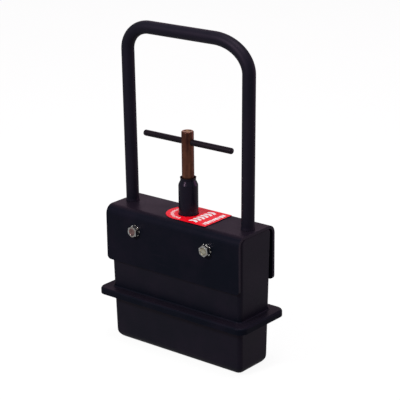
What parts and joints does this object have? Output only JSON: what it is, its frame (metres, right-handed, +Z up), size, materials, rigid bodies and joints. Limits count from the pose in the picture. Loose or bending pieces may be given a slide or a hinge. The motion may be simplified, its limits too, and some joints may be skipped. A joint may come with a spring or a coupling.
{
  "type": "magnetic bulk parts lifter",
  "caption": "Hand-held permanent-magnet lifter for small steel parts: deep black casing, flange collar, fixed bow handle and a T-handled spindle that pulls the magnet pack up to drop the load.",
  "frame": {"origin": "centre of the lifting face, which is the flat underside of the casing", "axes": "+Z up, from the lifting face to the bow handle; +X along the length; -Y is the front, where the bolt heads are"},
  "size_m": [0.183, 0.0694, 0.3256],
  "materials": {
    "black_enamel": "semi-gloss black stoving enamel",
    "black_bar": "semi-gloss black enamel on round bar",
    "blackened_steel": "chemically blackened steel",
    "bronze": "turned bronze with brown tarnish",
    "bush_bronze": "oiled sintered bronze",
    "zinc_plate": "bright zinc plate",
    "bare_steel": "ground mild steel",
    "aluminium": "milled",
    "ferrite": "ground dark grey ceramic magnet",
    "brass": "turned brass",
    "red_plate": "printed red and white, satin gloss"
  },
  "bodies": {
    "housing": {"casing": "black_enamel", "flange_collar": "black_enamel", "cover_channel": "black_enamel", "handle_bar": "black_bar", "guide_tube": "black_bar", "guide_bush": "bush_bronze", "name_plate": "red_plate", "through_bolt_left": "zinc_plate", "through_bolt_right": "zinc_plate", "bolt_washer_left": "zinc_plate", "bolt_washer_right": "zinc_plate", "nut_washer_left": "zinc_plate", "nut_washer_right": "zinc_plate", "bolt_nut_left": "zinc_plate", "bolt_nut_right": "zinc_plate", "stop_spacer_left": "bare_steel", "stop_spacer_right": "bare_steel"},
    "plunger": {"spindle": "bronze", "t_bar": "blackened_steel", "carrier_plate": "aluminium", "spindle_washer": "zinc_plate", "spindle_nut": "zinc_plate", "pole_plate_front": "bare_steel", "pole_plate_back": "bare_steel", "magnet_left": "ferrite", "magnet_middle": "ferrite", "magnet_right": "ferrite", "clamp_screw_left": "brass", "clamp_screw_right": "brass", "carrier_screw_front_left": "zinc_plate", "carrier_screw_front_right": "zinc_plate", "carrier_screw_back_left": "zinc_plate", "carrier_screw_back_right": "zinc_plate"}
  },
  "joints": [
    {"name": "magnet_lift", "type": "slide", "parent": "housing", "child": "plunger", "axis": [0, 0, 1], "range_m": [0, 0.064]}
  ]
}
